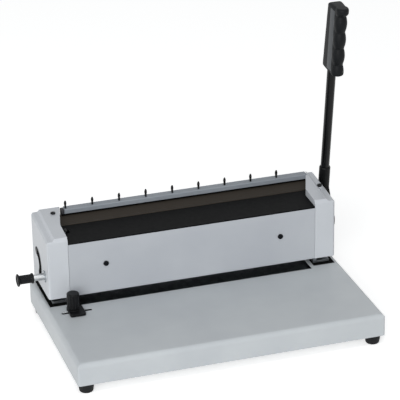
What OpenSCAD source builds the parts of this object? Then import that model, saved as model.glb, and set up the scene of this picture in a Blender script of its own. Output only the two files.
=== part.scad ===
// Desk machine that punches a row of round holes with a lever and closes wire bindings under its head.
// X runs to the right, Y to the back, Z up. Lengths are millimetres, angles are degrees.
// Sizes are worked out from the front edge of the base and its middle, and every piece is then shifted,
// so that the origin lies on the floor under the middle of the whole machine.

/* [Base] */
// Width of the base
base_w = 376; // [376:2:400]
// Depth of the base
base_d = 230; // [226:1:280]
// Height of the base shell
base_h = 28; // [27:0.5:34]
// Thickness of the base's sheet steel
base_t = 1.5; // [1.2:0.1:1.8]
// Outside radius of the folded top edges
base_bend_r = 6; // [3:0.5:7]
// Outside radius of the upright corners
base_corner_r = 3; // [2:0.5:6]
// Width of the lip folded in along the bottom
base_lip_w = 22; // [21:1:28]

/* [Feet] */
// Height of a rubber foot
foot_h = 12; // [8:0.5:20]
// Diameter of a foot at its top
foot_d = 19.5; // [16:0.5:21]
// Distance of a foot's middle from the side edge
foot_inset_x = 12; // [11:0.5:14]
// Distance of a foot's middle from the front or back edge
foot_inset_y = 11; // [11:0.5:14]

/* [Head] */
// Strip of the base that shows at either side of the head
head_inset = 6; // [5:0.5:9]
// Depth of the head
head_d = 77; // [76:0.5:84]
// Distance of the head's back from the back edge of the base
head_back_gap = 1; // [0.5:0.5:4]
// Height of the gap between base and head
head_gap = 9; // [8:0.5:12]
// Height of the head's front face
head_front_h = 75; // [74:0.5:80]
// Slope of the head's top, up to the back
head_slope = 5.2; // [4:0.1:6]
// Wall of the end covers
cover_t = 2; // [1.5:0.1:2.2]
// Height of the raised panel on an end cover's top
panel_rise = 2.5; // [1.5:0.1:3]
// Width of the lower strip along an end cover's outer edge
strip_w = 8; // [6:0.5:10]
// Width of an end cover at the front
ear_w = 26; // [25.5:0.5:28]
// Distance of the rear part of the cover's inner edge from the front face
ear_bend_y = 34; // [28:1:40]
// How far the left cover's inner edge leans in to the back
ear_lean_left = 10; // [4:0.5:12]
// How far the right cover's inner edge leans out to the back
ear_lean_right = 16; // [12:0.5:17]
// Thickness of the front and back panels
panel_t = 1.5; // [1:0.1:1.6]

/* [Table] */
// Drop from the front fold of the covers to the paper table
table_drop = 5.4; // [4:0.1:8]
// Slope of the paper table, up to the back
table_slope = 2; // [1:0.1:3]
// Thickness of the paper table
table_t = 1.2; // [1:0.1:1.5]

/* [Punch] */
// Pitch of the holes
hole_pitch = 8.467; // [7.938:0.001:8.467]
// Least room between the last hole and a side frame
row_end = 14; // [12.2:0.1:16.2]
// Diameter of a punch pin
pin_d = 4; // [3:0.1:4.5]
// Thickness of the die plate
die_t = 4; // [3:0.1:4.5]
// Width of the throat that takes the sheets
throat_w = 2.5; // [2:0.1:3]
// Thickness of the block that guides the pins
guide_t = 4; // [3:0.1:4.2]
// Distance of a hole's middle from the edge of the sheet
hole_margin = 4.5; // [4:0.1:6]
// Depth of the punch bar
bar_d = 7; // [6:0.1:7.4]
// Height of the punch bar
bar_h = 12; // [10:0.5:13]

/* [Drive] */
// Diameter of the main shaft
shaft_d = 12; // [10:0.1:12]
// Height of the shaft above the bottom of the head
shaft_rise = 27; // [27:0.1:28]
// Distance of the shaft from the back of the head
shaft_back = 24; // [23.8:0.1:24.4]
// Number of teeth on a pinion
pinion_teeth = 18; // [18:4:18]
// Gear module, tooth size
gear_module = 0.8; // [0.8:0.01:0.82]
// Travel of the lever
lever_travel = 70; // [50:1:72]

/* [Lever] */
// Diameter of the lever rod
rod_d = 11; // [9:0.1:12]
// Forward lean of the rod at rest
rod_lean = 8.6; // [4:0.1:12]
// Length of rod that shows between socket and grip
rod_len = 140.5; // [100:0.5:180]
// Length of the grip
grip_len = 90.5; // [80:0.5:110]
// Thickness of the grip's flat-sided back
grip_t = 17; // [16:0.5:18]
// Diameter of the finger lobes along the grip's front
lobe_d = 18; // [17:0.5:20]
// Depth of the hollows between the lobes
lobe_hollow = 2.4; // [1:0.1:2.6]
// Number of finger lobes below the grip's head
grip_lobes = 4; // [3:1:5]
// Length of the crank from the shaft to the top of its socket
crank_rise = 66; // [60:1:80]
// Height of the rod's socket
socket_h = 31; // [24:1:34]
// Backward offset of the socket's top from the shaft
crank_back = 11.8; // [8:0.1:13]

/* [Knobs] */
// Length of the side knob
side_knob_len = 20; // [16:1:30]
// Diameter of the side knob's outer flange
side_knob_d = 15.4; // [14:0.2:18]
// Diameter of the side knob's waist
side_waist_d = 10.8; // [10.6:0.1:11.5]
// Length of the silver rod that shows beside the side knob
side_stub = 14; // [8:1:18]
// Thread pitch of the edge guide's rod
thread_pitch = 1.25; // [1:0.05:1.5]
// Diameter of the size knob's post
size_knob_d = 15; // [12:0.5:16]
// Height of the size knob above the base
size_knob_h = 25; // [18:1:30]
// Travel of the size knob to the left
size_left = 12; // [6:1:12]
// Travel of the size knob to the right
size_right = 20; // [10:1:20]
// Rise of the closing wedges, height for each unit of length
wedge_rise = 0.12; // [0.08:0.01:0.12]

/* [Rail and hooks] */
// Distance of the grey rail's left end from the head's side
rail_left = 40; // [38:1:41]
// Distance of the grey rail's right end from the head's side
rail_right = 12; // [12:1:22]
// Depth of the rail's top
rail_d = 9.5; // [9:0.1:10]
// Height of the rail's front lip
rail_lip = 6.4; // [5:0.1:6.6]
// Holes between one hook and the next
hook_step = 4; // [3:1:6]
// Height of a hook above the rail
hook_h = 9; // [7:0.5:12]

/* [Chip tray] */
// Height of the chip tray
chip_h = 17; // [12:0.5:18]
// Wall of the chip tray
chip_t = 1.2; // [1:0.1:2]

/* [Hidden] */
$fn = 48;

// Clearances, and the overshoot of cuts
seam = 0.2;
slide_gap = 0.3;
fit = 0.05;
push_fit = 0.02;
eps = 1;

// Small edges and fasteners
edge_cut = 0.8;
screw_r = 2;
screw_head_r = 3.5;
screw_head_t = 2.2;
small_screw_r = 1.5;
small_hole_r = 1.6;
sunk_r = 3;
nut_r = 4.6;
nut_t = 4;

// Base and head, from the front edge and the middle of the base
base_z0 = foot_h;
base_z1 = foot_h + base_h;
head_y1 = base_d - head_back_gap;
head_y0 = head_y1 - head_d;
head_z0 = base_z1 + head_gap;
fold_z = head_z0 + head_front_h;
head_x = base_w / 2 - head_inset;
function top_z(y) = fold_z + (y - head_y0) * tan(head_slope);
function panel_z(y) = top_z(y) + panel_rise;

// Shaft and gears
shaft_r = shaft_d / 2;
shaft_y = head_y1 - shaft_back;
shaft_z = head_z0 + shaft_rise;
pinion_r = gear_module * pinion_teeth / 2;
tooth_up = gear_module;
tooth_down = 1.25 * gear_module;
tooth_pitch = PI * gear_module;
backlash = 0.12;
tooth_w = tooth_pitch / 2 - backlash;
pressure_angle = 20;
stroke = pinion_r * lever_travel * PI / 180;

// Side frames
ear_front_x = head_x - ear_w;
frame_x = ear_front_x;
frame_t = 4;
frame_out = frame_x + frame_t;
frame_y0 = head_y0 + cover_t;
back_t = cover_t;
frame_y1 = head_y1 - back_t;
flange_t = 3;
cover_corner_r = 3;
flange_x = head_x - cover_t - cover_corner_r - seam;

// Paper table and punching row
table_z0 = fold_z - table_drop;
function table_z(y) = table_z0 + (y - head_y0) * tan(table_slope);
throat_ahead = 4.5;
throat_y0 = shaft_y - throat_ahead;
throat_y1 = throat_y0 + throat_w;
die_y0 = throat_y0 - die_t;
guide_y1 = throat_y1 + guide_t;
pin_r = pin_d / 2;
hole_rise = 21;
hole_z = shaft_z + hole_rise;
block_under = 9;
block_z0 = hole_z - block_under;
hole_count = floor(2 * (frame_x - row_end) / hole_pitch) + 1;
row_x = (hole_count - 1) * hole_pitch / 2;
deck_z = table_z(throat_y0);
plate_t = 1.5;
plate_flat_y = guide_y1 + eps;
rail_y0 = head_y1 - rail_d;
lip_z = panel_z(rail_y0) - rail_lip;
plate_end_y = rail_y0 + plate_t - seam;
plate_end_z = lip_z - seam;
plate_angle = atan((plate_end_z - deck_z) / (plate_end_y - plate_flat_y));
plate_drop = plate_t / cos(plate_angle);
plate_end_gap = 2.5;
plate_x0 = -(frame_x - plate_end_gap);
plate_x1 = head_x - cover_t - 6;
table_x0 = -(frame_out - 0.5);
table_x1 = frame_out + 4;
bar_front_gap = 0.7;
bar_y0 = guide_y1 + stroke + bar_front_gap;
bar_y1 = bar_y0 + bar_d;
bar_z0 = hole_z - bar_h / 2;
bar_z1 = hole_z + bar_h / 2;
bar_end = flange_x - 0.8;

// Racks and pinions stand outside the side frames
bush_flange_t = 1.5;
rack_w = 5.8;
pinion_x0 = frame_out + bush_flange_t + 0.5;
pinion_x1 = bar_end + 0.5;
close_rack_x0 = pinion_x0 + 1.5;
close_rack_x1 = close_rack_x0 + rack_w;
punch_rack_x0 = close_rack_x1 + 0.7;
rack_pitch_z = shaft_z + pinion_r;
rack_pitch_y = shaft_y - pinion_r;
rack_back_y = rack_pitch_y - tooth_down;

// Closing bar and its trough
close_z0 = head_z0 + 0.5;
close_t = 5.5;
close_z1 = close_z0 + close_t;
close_y0 = head_y0 + 8;
close_y1 = close_y0 + 28;
tongue_d = 7;
tongue_y0 = close_y1 - tongue_d;
groove_r = 12;
groove_depth = 1;
tray_y0 = head_y0 - 8;
tray_y1 = close_y1 + 2;
tray_t = 1.2;
tray_x = frame_x - 5;
rail_x0 = -(head_x - rail_left);
rail_x1 = head_x - rail_right;
tray_z0 = base_z0 + 6;
tray_flange_d = [6, 8];
anvil_z1 = base_z1 - 6;
anvil_t = 3;

// Cross ties
front_tie_z = shaft_z + 10.8;
front_tie_h = 14;
front_tie_d = 6.5;
spring_y = head_y0 + 22;
spring_tie_z0 = hole_z + 7;
spring_tie_d = 8;
spring_tie_h = 10;
spring_x = frame_x - 38;
spring_eye_r = 1.6;
spring_eye_depth = 3.5;
spring_r = 4;
spring_wall = 1.2;
tie_y0 = rail_y0 - 0.5;
tie_z0 = bar_z1 + 3;
tie_z1 = deck_z - plate_drop + (tie_y0 - plate_flat_y) * tan(plate_angle);

// Chip tray
chip_y0 = close_y1 + 1.5;
chip_y1 = head_y1 - 0.5;
chip_x = frame_x - 2;
chip_z0 = base_z1 + slide_gap;
chip_z1 = chip_z0 + chip_h;
back_z0 = chip_z1 + 1.5;
back_z1 = tie_z0 - 2.5;
back_x = frame_out + 2.3;

// Side knob and edge guide
knob_y = head_y0 + 17.8;
knob_z = shaft_z - 3.3;
guide_rod_r = 4;
collar_r = 7;
stop_face_x = -(frame_x - 7.2);
stop_t = 3;
stop_y0 = head_y0 + 29;
stop_y1 = stop_y0 + 8;
stop_rise = 2.5;
nut_w = 10;
nut_half_d = 8;
nut_half_h = 7;
stop_travel = 2 * thread_pitch;
side_knob_x1 = -(head_x + side_stub);
side_knob_x0 = side_knob_x1 - side_knob_len;

// Size knob and wedges
size_x = -(frame_x + 2);
size_y = head_y0 - 21.5;
neck_r = 2.5;
slot_x0 = size_x - size_left - neck_r - slide_gap;
slot_x1 = size_x + size_right + neck_r + slide_gap;
slider_z0 = tray_z0 + tray_t + slide_gap;
slider_t = 2;
wedge_len = 50;
wedge_at = [51 - tray_x, tray_x - 91];
slider_side_gap = 3;
slider_y0 = tray_y0 + tray_t + slider_side_gap;
slider_y1 = slider_y0 + 12;
slider_half = 8;
arm_z1 = base_z1 - base_bend_r;

// Lever
hub_gap = 2.5;
hub_len = 13.5;
hub_r = 12;
hub_x0 = head_x + hub_gap;
hub_x1 = hub_x0 + hub_len;
lever_x = hub_x0 + 8.5;
cap_r = 8.5;
cap_t = 2;
arm_t = 10;
socket_wall = 1.5;
socket_r = rod_d / 2 + socket_wall;
socket_floor = 4;
socket_y = shaft_y + crank_back;
socket_z = shaft_z + crank_rise;
grip_s0 = rod_len;
grip_s1 = rod_len + grip_len;
rod_end_gap = 16;

// Shift of every piece from the base's front edge and middle to the machine's origin
reach_right = max(hub_x1 + cap_t, lever_x + lobe_d / 2);
reach_left = -side_knob_x0;
origin_x = (reach_right - reach_left) / 2;
origin_y = base_d / 2;

module placed() translate([-origin_x, -origin_y, 0]) children();

// A block given by its two corners
module block(a, b) translate(a) cube(b - a);

// A round bar along each axis, given by radius, the two ends and its place in the other two axes
module bar_x(r, x0, x1, y, z) translate([x0, y, z]) rotate([0, 90, 0]) cylinder(r = r, h = x1 - x0);
module bar_y(r, y0, y1, x, z) translate([x, y0, z]) rotate([-90, 0, 0]) cylinder(r = r, h = y1 - y0);
module bar_z(r, z0, z1, x, y) translate([x, y, z0]) cylinder(r = r, h = z1 - z0);

// A profile drawn in Y and Z, drawn out along X
module along_x(x0, x1) translate([x0, 0, 0]) rotate([90, 0, 90]) linear_extrude(x1 - x0) children();

// A profile drawn in X and Z, drawn out along Y
module along_y(y0, y1) translate([0, y1, 0]) rotate([90, 0, 0]) linear_extrude(y1 - y0) children();

module both_sides() {
  children();
  mirror([1, 0, 0]) children();
}

module round_rect(x0, y0, x1, y1, r) {
  translate([x0 + r, y0]) square([x1 - x0 - 2 * r, y1 - y0]);
  translate([x0, y0 + r]) square([x1 - x0, y1 - y0 - 2 * r]);
  for (x = [x0 + r, x1 - r], y = [y0 + r, y1 - r]) translate([x, y]) circle(r);
}

// Rectangle whose two upper corners are round
module crowned_rect(x0, z0, x1, z1, r) {
  translate([x0, z0]) square([x1 - x0, z1 - z0 - r]);
  translate([x0 + r, z0]) square([x1 - x0 - 2 * r, z1 - z0]);
  for (x = [x0 + r, x1 - r]) translate([x, z1 - r]) circle(r);
}

// Folded box with round upright corners and round top edges
module folded_box(inset, z0, z1, r, corner) {
  x = base_w / 2 - inset;
  intersection() {
    translate([0, 0, z0]) linear_extrude(z1 - z0) round_rect(-x, inset, x, base_d - inset, corner);
    along_x(-x - eps, x + eps) crowned_rect(inset, z0, base_d - inset, z1, r);
    along_y(inset - eps, base_d - inset + eps) crowned_rect(-x, z0, x, z1, r);
  }
}

foot_x = base_w / 2 - foot_inset_x;
foot_places = [for (x = [-foot_x, foot_x], y = [foot_inset_y, base_d - foot_inset_y]) [x, y]];
foot_screw_r = 2;
foot_recess_r = 4;
foot_taper = 1.4;
foot_round = 2;
foot_nut_r = 3.8;
foot_nut_t = 3;

bolt_r = 2.5;
bolt_x = frame_out + 9;
front_bolt_y = head_y0 + 16;
rear_bolt_y = head_y0 + 59;
front_foot = [front_bolt_y - 10, front_bolt_y + 10];
rear_foot = [rear_bolt_y - 11, rear_bolt_y + 11];
bolt_places = [for (x = [-bolt_x, bolt_x], y = [front_bolt_y, rear_bolt_y]) [x, y]];

// Base: folded sheet-steel shell, open below inside its lip
module base_shell() placed() color("#b4bac0") difference() {
  folded_box(0, base_z0, base_z1, base_bend_r, base_corner_r);
  folded_box(base_t, base_z0 + base_t, base_z1 - base_t, base_bend_r - base_t, base_corner_r - base_t);
  block([-base_w / 2 + base_lip_w, base_lip_w, base_z0 - eps],
    [base_w / 2 - base_lip_w, base_d - base_lip_w, base_z0 + base_t + eps]);
  block([-tray_x + tray_t, tray_y0 + tray_t, base_z1 - base_t - eps],
    [tray_x - tray_t, tray_y1 - tray_t, base_z1 + eps]);
  translate([0, 0, base_z1 - base_t - eps]) linear_extrude(base_t + 2 * eps)
    round_rect(slot_x0, size_y - neck_r - slide_gap, slot_x1, size_y + neck_r + slide_gap, neck_r);
  for (p = foot_places) bar_z(foot_screw_r + seam, base_z0 - eps, base_z0 + base_t + eps, p[0], p[1]);
  for (p = bolt_places) bar_z(bolt_r + seam, base_z1 - base_t - eps, base_z1 + eps, p[0], p[1]);
}

// Flat steel plate that closes the base from inside, on the lip
module base_plate() placed() color("#8d9296") difference() {
  inset = base_t + 1.5;
  translate([0, 0, base_z0 + base_t]) linear_extrude(base_t)
    round_rect(-base_w / 2 + inset, inset, base_w / 2 - inset, base_d - inset, base_corner_r);
  for (p = foot_places) bar_z(foot_screw_r + seam, base_z0, base_z0 + 3 * base_t, p[0], p[1]);
}

// Turned rubber feet, slightly narrower at the floor, with a recess for the screw
module rubber_feet() placed() color("#161719") for (p = foot_places)
  translate([p[0], p[1], 0]) rotate_extrude() foot_profile();

module foot_profile() {
  top_r = foot_d / 2;
  floor_r = top_r - foot_taper;
  bend = floor_r - foot_round;
  polygon(concat([[foot_recess_r, 0]],
    [for (a = [0:15:75]) [bend + foot_round * sin(a), foot_round * (1 - cos(a))]],
    [[floor_r, foot_round], [top_r, foot_h - edge_cut], [top_r - edge_cut, foot_h],
      [foot_screw_r + seam, foot_h], [foot_screw_r + seam, foot_h / 2], [foot_recess_r, foot_h / 2]]));
}

// Screws through the feet, the lip and the plate, each with its nut
module foot_screws() placed() color("#9a9da0") for (p = foot_places) {
  nut_z = base_z0 + 2 * base_t;
  bar_z(foot_recess_r - edge_cut, foot_h / 2 - screw_head_t, foot_h / 2, p[0], p[1]);
  bar_z(foot_screw_r, foot_h / 2, nut_z + foot_nut_t + eps, p[0], p[1]);
  translate([p[0], p[1], nut_z]) cylinder(r = foot_nut_r, h = foot_nut_t, $fn = 6);
}

// Black channel let into the base under the head, with flanges below the sheet
module closing_tray() placed() color("#15171a") {
  top = base_z1 - base_t;
  along_x(-tray_x, tray_x) polygon([
    [tray_y0, tray_z0], [tray_y1, tray_z0], [tray_y1, top - tray_t],
    [tray_y1 + tray_flange_d[1], top - tray_t], [tray_y1 + tray_flange_d[1], top],
    [tray_y1 - tray_t, top], [tray_y1 - tray_t, tray_z0 + tray_t],
    [tray_y0 + tray_t, tray_z0 + tray_t], [tray_y0 + tray_t, top], [tray_y0 - tray_flange_d[0], top],
    [tray_y0 - tray_flange_d[0], top - tray_t], [tray_y0, top - tray_t]]);
}

// Side frames: upright plates with feet, a rear flange and a tab for the cover's screw
module frame_plate_outline() {
  top = [deck_z - table_t - fit, deck_z - plate_t - fit];
  arch_z = close_z1 + slide_gap;
  difference() {
    polygon([
      [frame_y0, arch_z - 4], [front_foot[0], arch_z - 8], [front_foot[0], base_z1],
      [front_foot[1], base_z1], [front_foot[1], arch_z], [rear_foot[0], arch_z],
      [rear_foot[0], base_z1], [rear_foot[1], base_z1], [rear_foot[1], arch_z],
      [frame_y1, arch_z], [frame_y1, top[1]], [throat_y0, top[1]],
      [throat_y0, top[0]], [frame_y0, table_z(frame_y0) - table_t - fit]]);
    translate([bar_y0 - stroke - slide_gap, bar_z0 - slide_gap])
      square([bar_d + stroke + 2 * slide_gap, bar_h + 2 * slide_gap]);
  }
}

bush_r = 9;
tie_screws = [[frame_y0 + 3.5, front_tie_z], [spring_y, spring_tie_z0 + spring_tie_h / 2],
  [throat_y0 - die_t / 2, hole_z + 12], [throat_y1 + guide_t / 2, hole_z + 17], [tie_y0 + 4, tie_z0 + 6]];
tie_screw_len = 10;

module side_frame() {
  difference() {
    union() {
      along_x(frame_x, frame_out) frame_plate_outline();
      for (f = [front_foot, rear_foot])
        block([frame_out - eps, f[0], base_z1], [flange_x, f[1], base_z1 + flange_t]);
      block([frame_out - eps, frame_y1 - flange_t, back_z0],
        [flange_x, frame_y1, rear_screw_z[1] + tab_half]);
      block([frame_out - eps, tab_y - tab_half, tab_z1 - flange_t], [flange_x, tab_y + tab_half, tab_z1]);
    }
    bar_x(bush_r, frame_x - eps, frame_out + eps, shaft_y, shaft_z);
    for (s = tie_screws) bar_x(screw_r + 2 * fit, frame_x - eps, frame_out + eps, s[0], s[1]);
    for (y = [front_bolt_y, rear_bolt_y])
      bar_z(bolt_r + seam, base_z1 - eps, base_z1 + flange_t + eps, bolt_x, y);
    bar_z(small_screw_r, tab_z1 - flange_t - eps, tab_z1 + eps, tab_x, tab_y);
    for (z = rear_screw_z) bar_y(small_screw_r, frame_y1 - flange_t - eps, frame_y1 + eps, rear_screw_x, z);
    for (z = back_screw_z) bar_y(back_screw_r + fit, frame_y1 - 8, frame_y1 + eps, frame_x + frame_t / 2, z);
  }
}

back_screw_r = 1.4;
back_screw_z = [back_z0 + 5, bar_z0 - 5];
back_screw_places = [for (x = [-1, 1], z = back_screw_z) [x * (frame_x + frame_t / 2), z]];
tab_x = flange_x - 1.8;
tab_y = head_y0 + 36;
tab_half = 6;
tab_z1 = table_z(tab_y - tab_half) - table_t - 0.5;
rear_screw_x = frame_out + 10;
rear_screw_z = [back_z0 + 5, shaft_z - 2];
left_top_screw = [-(frame_x + frame_t / 2), head_y0 + 62];

module left_frame() placed() color("#7d8286") difference() {
  mirror([1, 0, 0]) side_frame();
  bar_x(guide_rod_r + fit, -frame_out - eps, -frame_x + eps, knob_y, knob_z);
  bar_z(back_screw_r + fit, deck_z - plate_t - 9, deck_z, left_top_screw[0], left_top_screw[1]);
}

module right_frame() placed() color("#7d8286") side_frame();

// Bolts through the frames' feet and the base's sheet, each with its nut
module frame_bolts() placed() color("#3a3d40") for (p = bolt_places) {
  under = base_z1 - base_t;
  translate([p[0], p[1], base_z1 + flange_t]) cylinder(r = nut_r, h = nut_t - 0.5, $fn = 6);
  bar_z(bolt_r, under - nut_t - 2, base_z1 + flange_t, p[0], p[1]);
  translate([p[0], p[1], under - nut_t]) cylinder(r = nut_r, h = nut_t, $fn = 6);
}

// Screws through the frames into the ends of the ties, the die and the pin guide
module frame_screws() placed() color("#3a3d40") both_sides() for (s = tie_screws) {
  bar_x(screw_head_r, frame_out, frame_out + screw_head_t, s[0], s[1]);
  bar_x(screw_r, frame_x - tie_screw_len, frame_out, s[0], s[1]);
}

// Flanged bronze bushes for the main shaft
module shaft_bushes() placed() color("#b08d57") both_sides() difference() {
  union() {
    bar_x(bush_r, frame_x, frame_out, shaft_y, shaft_z);
    bar_x(bush_r + 2, frame_out, frame_out + bush_flange_t, shaft_y, shaft_z);
  }
  bar_x(shaft_r + fit, frame_x - eps, frame_out + bush_flange_t + eps, shaft_y, shaft_z);
}

// Screw holes in the ends of what stands between the frames
module end_holes() both_sides()
  for (s = tie_screws) bar_x(screw_r + fit, frame_x - tie_screw_len - eps, frame_x + eps, s[0], s[1]);

panel_screw_x = frame_x - 45.6;

module front_tie() placed() color("#7d8286") difference() {
  block([-frame_x, head_y0 + panel_t, front_tie_z - front_tie_h / 2],
    [frame_x, head_y0 + panel_t + front_tie_d, front_tie_z + front_tie_h / 2]);
  end_holes();
  both_sides()
    bar_y(small_hole_r, head_y0, head_y0 + panel_t + front_tie_d + eps, panel_screw_x, front_tie_z);
}

module spring_tie() placed() color("#7d8286") difference() {
  block([-frame_x, spring_y - spring_tie_d / 2, spring_tie_z0],
    [frame_x, spring_y + spring_tie_d / 2, spring_tie_z0 + spring_tie_h]);
  end_holes();
  both_sides() bar_z(spring_eye_r, spring_tie_z0 - eps, spring_tie_z0 + spring_eye_depth, spring_x, spring_y);
}

rail_screw_end = 26;
rail_screw_x = [rail_x0 + rail_screw_end, (rail_x0 + rail_x1) / 2, rail_x1 - rail_screw_end];
rail_screw_z = tie_z0 + 9;

module rear_tie() placed() color("#7d8286") difference() {
  block([-frame_x, tie_y0, tie_z0], [frame_x, frame_y1, tie_z1]);
  end_holes();
  for (x = rail_screw_x) bar_y(small_hole_r, tie_y0 - eps, frame_y1 + eps, x, rail_screw_z);
}

module hole_row() for (i = [0:hole_count - 1]) translate([-row_x + i * hole_pitch, 0, 0]) children();

// Die with its row of holes, in front of the throat
module die_plate() placed() color("#5d6266") difference() {
  block([-frame_x, die_y0, block_z0], [frame_x, throat_y0, table_z(die_y0) - table_t]);
  hole_row() bar_y(pin_r + fit, die_y0 - eps, throat_y0 + eps, 0, hole_z);
  end_holes();
}

// Block behind the throat that guides the punch pins
module pin_guide() placed() color("#5d6266") difference() {
  block([-frame_x, throat_y1, block_z0], [frame_x, guide_y1, deck_z - plate_t]);
  hole_row() bar_y(pin_r + fit, throat_y1 - eps, guide_y1 + eps, 0, hole_z);
  end_holes();
}

// Strip that closes the bottom of the throat and stops the sheets
module throat_stop() placed() color("#5d6266")
  block([-frame_x, throat_y0, block_z0], [frame_x, throat_y1, hole_z - hole_margin]);

// Black table that the sheets lie on
module paper_table() placed() color("#101113") difference() {
  along_x(table_x0, table_x1) polygon([
    [head_y0, table_z0 - table_t], [throat_y0, table_z(throat_y0) - table_t],
    [throat_y0, table_z(throat_y0)], [head_y0 + table_t / 2, table_z(head_y0 + table_t / 2)],
    [head_y0, table_z0 - table_t / 2]]);
  low = table_z0 - table_t - eps;
  block([stop_face_x - stop_t - stop_travel - slide_gap, stop_y0 - slide_gap, low],
    [stop_face_x + stop_travel + slide_gap, stop_y1 + slide_gap, deck_z + eps]);
  both_sides() block([ear_front_x - seam, head_y0 - eps, low], [head_x, head_y0 + cover_t, fold_z]);
}

// Dark steel plate behind the throat, folded up under the rail's lip
module rear_plate() placed() color("#2b2b24") along_x(plate_x0, plate_x1) polygon([
  [throat_y1, deck_z - plate_t], [plate_flat_y + plate_t * tan(plate_angle / 2), deck_z - plate_t],
  [plate_end_y, plate_end_z - plate_drop], [plate_end_y, plate_end_z], [plate_flat_y, deck_z],
  [throat_y1 + edge_cut, deck_z], [throat_y1, deck_z - edge_cut]]);

// Leaf-shaped hooks on one strip, a few holes apart
hook_slot = 2;
hook_strip_t = 3;
hook_strip_z1 = tie_z1 + hook_strip_t;
hook_y = head_y1 - 4.2;
hook_stem_w = 2.4;
hook_leaf_w = 4.4;
hook_leaf_r = 7;
hook_lean = 12;
hook_places = [for (k = [0:hook_step:hole_count - 1]) -row_x + k * hole_pitch];

module hook_leaf() {
  middle = hook_leaf_r - hook_leaf_w / 2;
  half_len = sqrt(pow(hook_leaf_r, 2) - pow(middle, 2));
  translate([hook_y - hook_stem_w / 2, hook_strip_z1 - eps])
    square([hook_stem_w, panel_z(hook_y) + hook_h - 2 * half_len + 2 * eps - hook_strip_z1 + eps]);
  translate([hook_y, panel_z(hook_y) + hook_h - half_len]) rotate(hook_lean) intersection() {
    translate([middle, 0]) circle(hook_leaf_r);
    translate([-middle, 0]) circle(hook_leaf_r);
  }
}

module wire_hooks() placed() color("#0c0d0e") {
  block([rail_x0 + eps, hook_y - hook_stem_w, tie_z1], [rail_x1 - eps, frame_y1 - seam, hook_strip_z1]);
  for (x = hook_places) along_x(x - hook_slot / 2 + seam, x + hook_slot / 2 - seam) hook_leaf();
}

// Grey channel along the back, with slots for the hooks
rail_t = 1.5;
rail_foot_z = tie_z0 - 2;

module top_rail() placed() color("#7f868c") difference() {
  along_x(rail_x0, rail_x1) polygon([
    [rail_y0, lip_z], [rail_y0 + rail_t, lip_z], [rail_y0 + rail_t, panel_z(rail_y0 + rail_t) - rail_t],
    [frame_y1, panel_z(frame_y1) - rail_t], [frame_y1, rail_foot_z], [head_y1, rail_foot_z],
    [head_y1, panel_z(head_y1) - edge_cut], [head_y1 - edge_cut, panel_z(head_y1 - edge_cut)],
    [rail_y0 + edge_cut, panel_z(rail_y0 + edge_cut)], [rail_y0, panel_z(rail_y0) - edge_cut]]);
  for (x = hook_places)
    block([x - hook_slot / 2, hook_y - hook_leaf_w / 2 - seam, panel_z(rail_y0) - 2 * rail_t],
      [x + hook_slot / 2, frame_y1, panel_z(head_y1) + eps]);
  for (x = rail_screw_x) back_hole(x, rail_screw_z);
}

// Countersunk screws from the back, and the holes they sit in
module back_screw(x, z, r = small_screw_r, len = 6) {
  translate([x, frame_y1, z]) rotate([-90, 0, 0]) cylinder(r1 = r, r2 = sunk_r, h = back_t);
  bar_y(r, frame_y1 - len, frame_y1, x, z);
}

module back_hole(x, z, r = small_hole_r) {
  translate([x, frame_y1, z]) rotate([-90, 0, 0]) cylinder(r1 = r, r2 = sunk_r + 2 * fit, h = back_t);
  bar_y(r, frame_y1 - back_t, frame_y1 + push_fit, x, z);
}

module rail_screws() placed() color("#2a2c2e") for (x = rail_screw_x) back_screw(x, rail_screw_z);

panel_lip = 7;
panel_head_r = 3.2;
panel_head_t = 1.6;

// Front panel between the covers, with folded top and bottom edges
module front_panel() placed() color("#b3b7bc") difference() {
  x = ear_front_x - seam;
  top = table_z0 - table_t;
  lip_y = head_y0 + panel_lip;
  along_x(-x, x) polygon([
    [head_y0, head_z0 + edge_cut], [head_y0 + edge_cut, head_z0], [lip_y, head_z0],
    [lip_y, head_z0 + panel_t], [head_y0 + panel_t, head_z0 + panel_t], [head_y0 + panel_t, top - panel_t],
    [lip_y, top - panel_t], [lip_y, top], [head_y0, top]]);
  both_sides() bar_y(small_hole_r + seam, head_y0 - eps, head_y0 + panel_t + eps, panel_screw_x, front_tie_z);
}

module panel_screws() placed() color("#35383b") both_sides() difference() {
  union() {
    bar_y(panel_head_r, head_y0 - panel_head_t, head_y0, panel_screw_x, front_tie_z);
    bar_y(small_screw_r, head_y0, head_y0 + panel_t + front_tie_d - eps, panel_screw_x, front_tie_z);
  }
  for (a = [0, 90])
    translate([panel_screw_x, head_y0 - panel_head_t, front_tie_z]) rotate([0, a, 0]) cross_slot();
}

// One arm of the cross in a screw's head
cross_arm = [3.4, 1.8, 0.7];
module cross_slot() cube(cross_arm, center = true);

module back_panel() placed() color("#a9aeb3") difference() {
  block([-back_x, frame_y1, back_z0], [back_x, head_y1, back_z1]);
  for (s = back_screw_places) back_hole(s[0], s[1]);
}

module back_screws() placed() color("#2a2c2e")
  for (s = back_screw_places) back_screw(s[0], s[1], back_screw_r);

// End covers. The outline seen from above runs from the outer side to the inner edge.
ear_y = head_y0 + ear_bend_y;

module cover_outline(lean, inset) {
  x0 = -head_x + inset;
  x1 = -ear_front_x - inset;
  y0 = head_y0 + inset;
  y1 = head_y1 - inset;
  polygon([[x0 + cover_corner_r, y0], [x1, y0], [x1, ear_y], [x1 + lean, y1], [x0 + cover_corner_r, y1],
    [x0, y1 - cover_corner_r], [x0, y0 + cover_corner_r]]);
  for (y = [y0 + cover_corner_r, y1 - cover_corner_r])
    translate([x0 + cover_corner_r, y]) circle(cover_corner_r);
}

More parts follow.
